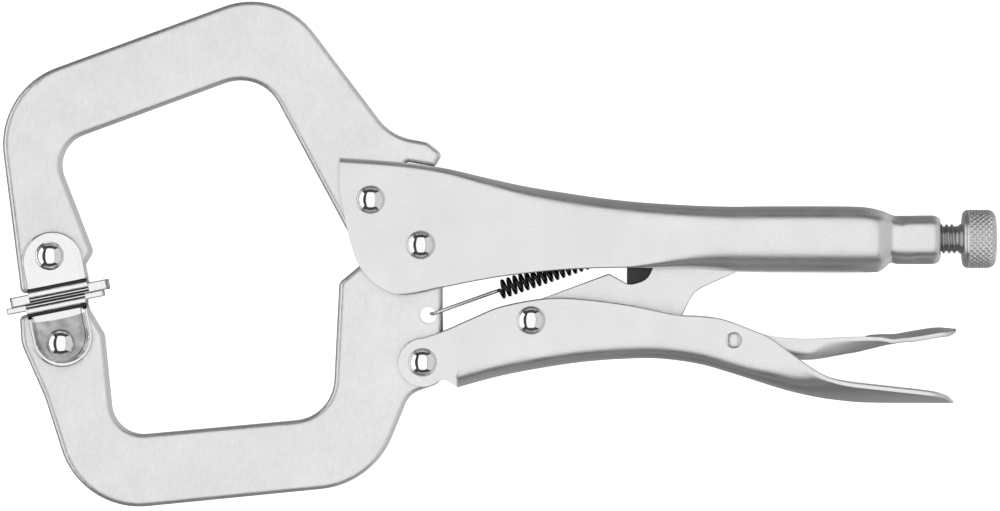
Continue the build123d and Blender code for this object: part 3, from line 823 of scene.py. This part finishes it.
def knurled_knob():
    """Round knob with a smooth shoulder, a diamond knurl and a rounded end."""
    low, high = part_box("adjusting_knob")
    radius = (high.y - low.y) / 2
    width = high.x - low.x
    bm = bmesh.new()
    rows = []
    for j in range(KNOB_ROWS + 1):
        x = width * j / KNOB_ROWS
        fade = min(1.0, max(0.0, (x - KNURL_START) / (0.5 * MM)))
        fade *= min(1.0, max(0.0, (width - x) / (1.2 * MM)))
        lead = x * KNURLS / (2 * pi * radius)
        row = []
        for i in range(KNOB_COLUMNS):
            turn = i / KNOB_COLUMNS
            one = triangle_wave(turn * KNURLS + lead)
            two = triangle_wave(turn * KNURLS - lead)
            height = min(1.0, 1.5 * min(one, two) + 0.1)
            cut = KNURL_DEPTH * (1 - height) * fade
            row.append(round_point(low.x + x, radius - knob_drop(x, width) - cut, turn))
        rows.append(row)
    verts = add_rows(bm, rows)
    bore = [(low.x, BORE_RADIUS), (low.x + BORE_DEPTH, BORE_RADIUS)]
    inner = add_rows(bm, [ring(x, r, KNOB_COLUMNS) for x, r in bore])
    join_rings(bm, verts[0], inner[0])
    cap(bm, inner[1])
    dish = [
        (high.x, radius - KNOB_RIM - 0.6 * MM),
        (high.x - DISH_DEPTH, radius - KNOB_RIM - 1.3 * MM),
        (high.x - DISH_DEPTH, 0.6 * MM),
    ]
    face = add_rows(bm, [ring(x, r, KNOB_COLUMNS) for x, r in dish])
    join_rings(bm, verts[-1], face[0])
    cap(bm, face[-1])
    return bm


piece_from(knurled_knob(), "knurled_knob", [knurled_steel], "adjusting_knob",
           ["adjusting_knob"], smooth_angle=30.0)


# ---------------------------------------------------------------- return spring

WIRE_RADIUS = 0.5 * MM
COIL_RADIUS = 2.75 * MM
COIL_START = Vector((-0.1 * MM, -10.0 * MM, MID))
COIL_END = Vector((33.5 * MM, 1.6 * MM, MID))
COIL_TURNS = 20
COIL_STEPS = 28
HOLE = Vector((-20.4 * MM, -17.1 * MM, MID))
HOLE_SIDE = HOLE + Vector((1.5 * MM, 0.4 * MM, 0.0))
PEG = Vector((43.5 * MM, 7.0 * MM, MID))
HOOK_RADIUS = 1.1 * MM + WIRE_RADIUS
WIRE_OVER_JAW = JAW_HALF + WIRE_RADIUS + 0.15 * MM


def wire_along(bm, path, radius, material_of):
    """Round wire along a path of points, with its section carried without twisting."""
    sides = 12
    rows = []
    normal = None
    for k, point in enumerate(path):
        before = path[max(k - 1, 0)]
        after = path[min(k + 1, len(path) - 1)]
        along = (after - before).normalized()
        if normal is None:
            normal = along.orthogonal().normalized()
        normal = (normal - along * normal.dot(along)).normalized()
        side = along.cross(normal)
        rows.append([
            point + radius * (normal * cos(2 * pi * i / sides) + side * sin(2 * pi * i / sides))
            for i in range(sides)
        ])
    verts = add_rows(bm, rows)
    for face in bm.faces:
        face.material_index = material_of(face.calc_center_median())
    cap(bm, verts[0])
    cap(bm, verts[-1])


def smooth_path(points):
    """Catmull-Rom curve through the points."""
    steps = 8
    path = []
    for k in range(len(points) - 1):
        a = points[max(k - 1, 0)]
        b = points[k]
        c = points[k + 1]
        d = points[min(k + 2, len(points) - 1)]
        for i in range(steps):
            t = i / steps
            path.append(0.5 * (2 * b + (c - a) * t + (2 * a - 5 * b + 4 * c - d) * t**2
                               + (3 * b - a - 3 * c + d) * t**3))
    path.append(points[-1])
    return path


def spring_path():
    """Front hook through the jaw's hole, straight wire, coil and rear hook round the peg."""
    axis = (COIL_END - COIL_START).normalized()
    side = axis.cross(Vector((0, 0, 1))).normalized()
    up = side.cross(axis).normalized()
    mean = COIL_RADIUS - WIRE_RADIUS
    front = smooth_path([
        HOLE_SIDE + Vector((-0.6 * MM, 0, -2.0 * MM)),
        HOLE_SIDE + Vector((0, 0, WIRE_OVER_JAW * 0.55)),
        HOLE_SIDE + Vector((0.5 * MM, 0.2 * MM, WIRE_OVER_JAW * 0.98)),
        HOLE_SIDE + Vector((2.4 * MM, 0.9 * MM, WIRE_OVER_JAW)),
        HOLE_SIDE + Vector((6.0 * MM, 2.2 * MM, WIRE_OVER_JAW * 0.93)),
        COIL_START - axis * 3.0 * MM + up * mean,
        COIL_START - axis * 0.9 * MM + up * mean,
    ])
    length = (COIL_END - COIL_START).length
    coil = []
    for k in range(COIL_TURNS * COIL_STEPS + 1):
        turn = k / COIL_STEPS
        angle = 2 * pi * turn
        coil.append(COIL_START + axis * (length * turn / COIL_TURNS)
                    + mean * (up * cos(angle) + side * sin(angle)))
    rear = smooth_path([
        coil[-1],
        COIL_END + axis * 1.0 * MM + up * mean * 0.5,
        COIL_END + axis * 3.0 * MM + side * -0.3 * MM,
        PEG + HOOK_RADIUS * Vector((-1.1, 0.5, 0)),
        PEG + HOOK_RADIUS * Vector((0, 1, 0)),
        PEG + HOOK_RADIUS * Vector((1, 0, 0)),
        PEG + HOOK_RADIUS * Vector((0.3, -1, 0)),
    ])
    return front + coil + rear[1:]


def wire_shade_index(middle):
    """Index of the colour at a place: bare wire in front of the coil, and black painted shade on the
    coil and behind, on the same wire.
    """
    return 1 if middle.x < COIL_START.x - 0.6 * MM else 0


spring_mesh = bmesh.new()
wire_along(spring_mesh, spring_path(), WIRE_RADIUS, wire_shade_index)
# The coil's black is painted shade on a bare wire.
spring = piece_from(spring_mesh, "coiled_spring", [black_oxide, spring_wire], None,
                    ["return_spring"])
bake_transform(spring)


# ---------------------------------------------------------------- swivel pads

PAD_TILT = radians(11.3)
EAR_HALF = 8.45
EAR_ARC = 8.75
EAR_ARC_DROP = 1.95
EAR_INNER = 5.7
EAR_OUTER = 7.8
EAR_ROUNDING = 0.8
EAR_RIM_END = 2.3
EAR_ROWS = 40
FACE_STEPS = 24
CREASE_TO_FACE = 3.7
CREASE_DEPTH = 1.7
STRIP_DEPTH = 0.9
WEB = 2.1
PLATE = 1.8
PLATE_SUNK = 0.05
TAB_HALF_DEPTH = 6.75
TAB_ROUNDING = 0.55 * MM
# Where the lower pad's dish is coloured darker as painted shade: rims higher than this, reach from
# the ear's edge and distance from the crease.
DISHED_RIM = 0.5
DISH_SHADE_REACH = 1.25
DISH_SHADE_TO_CREASE = 1.6

# Columns of the band's profile that lie in its creases, coloured black as painted shade.
GROOVES = (0, 1, 2, 12, 13, 16, 17)
GROOVE_SHADE_INDEX = 1
DISH_SHADE_INDEX = 2


def ear_face(reach, rim):
    """Height of an ear's outer side above the middle plane, at a reach from its edge."""
    height = EAR_OUTER + rim * (1 - smoothstep(EAR_ROUNDING, EAR_RIM_END, reach))
    if reach < EAR_ROUNDING:
        height -= EAR_ROUNDING * (1 - sqrt(max(0.0, 1 - (1 - reach / EAR_ROUNDING)**2)))
    return height


def band_profile(face, crease):
    """(v, z) points over the crease, the rolled band and the edge strip to the contact face."""
    start, end = crease + 0.95, face - 1.15
    middle, half = (start + end) / 2, (end - start) / 2
    points = [
        (crease, EAR_OUTER - 0.25),
        (crease + 0.15, EAR_OUTER - CREASE_DEPTH),
        (start - 0.15, EAR_OUTER - CREASE_DEPTH),
        (start, EAR_OUTER - 0.4),
    ]
    for k in range(9):
        angle = pi * k / 8
        points.append((middle - half * cos(angle), EAR_OUTER + 0.1 + 0.75 * sin(angle)**0.6))
    points += [
        (end + 0.05, EAR_OUTER - STRIP_DEPTH),
        (end + 0.3, EAR_OUTER - STRIP_DEPTH),
        (end + 0.35, EAR_OUTER),
        (face - 0.5, EAR_OUTER + 0.05),
        (face - 0.45, EAR_OUTER - STRIP_DEPTH),
        (face, EAR_OUTER - STRIP_DEPTH),
    ]
    return points


def ear_reach(u, v):
    """Distance to the ear's edge, an arc whose ends run on straight towards the face."""
    return EAR_ARC - hypot(u, min(v - EAR_ARC_DROP, 0.0))


def pad_section(u, face, rim):
    """(v, z) points once round the pad at u, and how many of them make its outer side."""
    crease = face - CREASE_TO_FACE
    top = EAR_ARC_DROP - sqrt(EAR_ARC**2 - u**2)
    outer = []
    for i in range(FACE_STEPS):
        v = top + (crease - top) * (1 - cos(pi / 2 * i / FACE_STEPS))
        reach = min(ear_reach(u, v), EAR_HALF - abs(u) + EAR_ROUNDING / 2)
        outer.append((v, ear_face(reach, rim)))
    outer += band_profile(face, crease)
    web = face - WEB
    inner = [(web, 0.0), (web, EAR_INNER - 0.5), (web - 0.5, EAR_INNER),
             ((web + top) / 2, EAR_INNER), (top, EAR_INNER)]
    far = [(v, -z) for v, z in reversed(outer)] + [(v, -z) for v, z in reversed(inner[1:])]
    return outer + far + inner, len(outer)


def add_plate(bm, place, face, tabs):
    """Adds the flat contact plate, which ends in a tab on either side."""
    plate = bmesh.ops.create_cube(bm, size=1.0)["verts"]
    for vert in plate:
        u = tabs[0] if vert.co.x < 0 else tabs[1]
        v = face - PLATE if vert.co.y < 0 else face - PLATE_SUNK
        vert.co = place(u, v, 2 * vert.co.z * TAB_HALF_DEPTH)
    edges = {edge for vert in plate for edge in vert.link_edges}
    bmesh.ops.bevel(bm, geom=list(edges), offset=TAB_ROUNDING, segments=4, profile=0.6,
                    affect="EDGES")


def swivel_pad(node, rivet, face, side, rim, shift, tabs):
    """Stamped pad: two ears with raised rims, a rolled band and a flat contact plate.

    In millimetres from the rivet: face is how far the contact face lies, shift how far the ears
    lie off centre along it and tabs where the plate ends. side is the way the pad faces and rim
    how high the ears' rims stand.
    """
    pivot = centre_of(rivet)
    along = Vector((cos(PAD_TILT), sin(PAD_TILT), 0.0))
    across = Vector((-sin(PAD_TILT), cos(PAD_TILT), 0.0)) * side
    crease = face - CREASE_TO_FACE

    def place(u, v, z):
        return pivot + (along * u + across * v + Vector((0, 0, z))) * MM

    bm = bmesh.new()
    rows = []
    for k in range(EAR_ROWS + 1):
        u = -EAR_HALF * cos(pi * k / EAR_ROWS)
        section, count = pad_section(u, face, rim)
        rows.append([place(u + shift, v, z) for v, z in section])
    verts = add_rows(bm, rows)
    for j in range(EAR_ROWS):
        for i in range(2 * count - 1):
            column = min(i, 2 * count - 2 - i)
            strip = bm.faces.get((verts[j][i], verts[j][i + 1], verts[j + 1][i + 1], verts[j + 1][i]))
            middle = (strip.calc_center_median() - pivot) / MM
            u, v = middle.dot(along) - shift, middle.dot(across)
            on_ear = column < FACE_STEPS and ear_reach(u, v) > DISH_SHADE_REACH
            # Faces in the grooves are coloured black: painted shade in the creases.
            if column - FACE_STEPS in GROOVES:
                strip.material_index = GROOVE_SHADE_INDEX
            # The lower pad's dish is coloured darker: painted shade for the hollow's dark reflection.
            elif rim > DISHED_RIM and on_ear and v < crease - DISH_SHADE_TO_CREASE:
                strip.material_index = DISH_SHADE_INDEX
    bm.faces.new(verts[0])
    bm.faces.new(verts[-1])
    add_plate(bm, place, face, tabs)
    piece_from(bm, node + "_stamping", [bright_nickel, black_oxide, dish_painted_shade], node,
               [node], smooth_angle=38.0)


swivel_pad("upper_pad", "upper_pad_rivet", face=11.8, side=-1, rim=0.2, shift=0.4,
           tabs=(-12.9, 13.8))
swivel_pad("lower_pad", "lower_pad_rivet", face=12.55, side=1, rim=0.95, shift=0.8,
           tabs=(-13.3, 14.4))


# ---------------------------------------------------------------- studio

# Soft panels: place, target and size in metres, then radiance.
PANELS = {
    "overhead": ((0.0, 0.0, 1.2), (0, 0, 0), (1.65, 3.5), 1.0),
    "west": ((-1.5, 0.0, 0.49), (0, 0, 0.49), (2.8, 0.98), 1.3),
    "east": ((1.2, 0.0, 0.6), (0.306, 0, 0.153), (3.0, 1.34), 0.62),
    "south": ((0.0, -2.2, 0.17), (0, 0, 0.17), (2.4, 0.34), 0.4),
    "north": ((0.0, 2.2, 0.17), (0, 0, 0.17), (2.4, 0.34), 0.4),
}
FLOOR_HALF = 8.0
FLOOR_GLOW = 0.9
LENS = 300.0
FRAME_WIDTH = 281.94 * MM
VIEW_CENTRE = (-0.14 * MM, -0.28 * MM)


def area_light(name, place, target, size, radiance):
    """Soft panel facing a target; its power follows from the radiance wanted."""
    light = bpy.data.lights.new(name, "AREA")
    light.shape = "RECTANGLE"
    light.size, light.size_y = size
    light.energy = radiance * pi * size[0] * size[1]
    lamp = bpy.data.objects.new(name, light)
    bpy.context.scene.collection.objects.link(lamp)
    lamp.location = place
    lamp.rotation_euler = (Vector(target) - Vector(place)).to_track_quat("-Z", "Y").to_euler()
    lamp.visible_camera = False


def pale_floor():
    """Plain white floor that glows a little and is not seen in reflections."""
    nodes = Nodes("floor_paper")
    tint = nodes.mix(nodes.noise(3.0), (0.93, 0.93, 0.93), (0.95, 0.95, 0.95))
    nodes.link(tint, nodes.shader.inputs["Base Color"])
    nodes.shader.inputs["Roughness"].default_value = 0.9
    nodes.shader.inputs["Specular IOR Level"].default_value = 0.1
    nodes.shader.inputs["Emission Color"].default_value = (1.0, 1.0, 1.0, 1.0)
    nodes.shader.inputs["Emission Strength"].default_value = FLOOR_GLOW
    bm = bmesh.new()
    bmesh.ops.create_grid(bm, x_segments=2, y_segments=2, size=FLOOR_HALF)
    mesh = bpy.data.meshes.new("floor")
    bm.to_mesh(mesh)
    bm.free()
    mesh.materials.append(nodes.material)
    floor = bpy.data.objects.new("floor", mesh)
    bpy.context.scene.collection.objects.link(floor)
    floor.visible_glossy = False


def surround():
    """World that is nearly dark above, and grey below the horizon, lighter towards +X."""
    world = bpy.data.worlds.new("surround")
    world.use_nodes = True
    tree = world.node_tree
    place = tree.nodes.new("ShaderNodeTexCoord")
    parts = tree.nodes.new("ShaderNodeSeparateXYZ")
    tree.links.new(place.outputs["Generated"], parts.inputs["Vector"])

    def ramp(value, start, end, low, high):
        """Remaps a value from start..end to low..high."""
        node = tree.nodes.new("ShaderNodeMapRange")
        limits = {"From Min": start, "From Max": end, "To Min": low, "To Max": high}
        for name, number in limits.items():
            node.inputs[name].default_value = number
        tree.links.new(value, node.inputs["Value"])
        return node.outputs["Result"]

    def combine(operation, first, second):
        """Result of a maths operation on two sockets."""
        node = tree.nodes.new("ShaderNodeMath")
        node.operation = operation
        tree.links.new(first, node.inputs[0])
        tree.links.new(second, node.inputs[1])
        return node.outputs["Value"]

    below = ramp(parts.outputs["Z"], 0.02, -0.12, 0.0, 1.0)
    east = ramp(parts.outputs["X"], 0.05, 0.55, 0.15, 0.62)
    above = ramp(parts.outputs["Z"], 0.02, -0.12, 0.06, 0.0)
    deep = ramp(parts.outputs["Z"], -0.3, -0.8, 0.0, 0.16)
    level = combine("ADD", combine("MULTIPLY", below, east), combine("ADD", above, deep))
    tree.links.new(level, tree.nodes["Background"].inputs["Strength"])
    tree.nodes["Background"].inputs["Color"].default_value = (1.0, 1.0, 1.0, 1.0)
    return world


def camera():
    """Long lens straight above the clamp, so that it shows the side view."""
    data = bpy.data.cameras.new("camera")
    data.lens = LENS
    data.clip_end = 20.0
    height = FRAME_WIDTH * LENS / data.sensor_width
    view = bpy.data.objects.new("camera", data)
    view.location = (*VIEW_CENTRE, MID + height)
    bpy.context.scene.collection.objects.link(view)
    bpy.context.scene.camera = view


pale_floor()
for panel, settings in PANELS.items():
    area_light(panel, *settings)
bpy.context.scene.world = surround()
camera()
bpy.context.scene.view_settings.view_transform = "Standard"
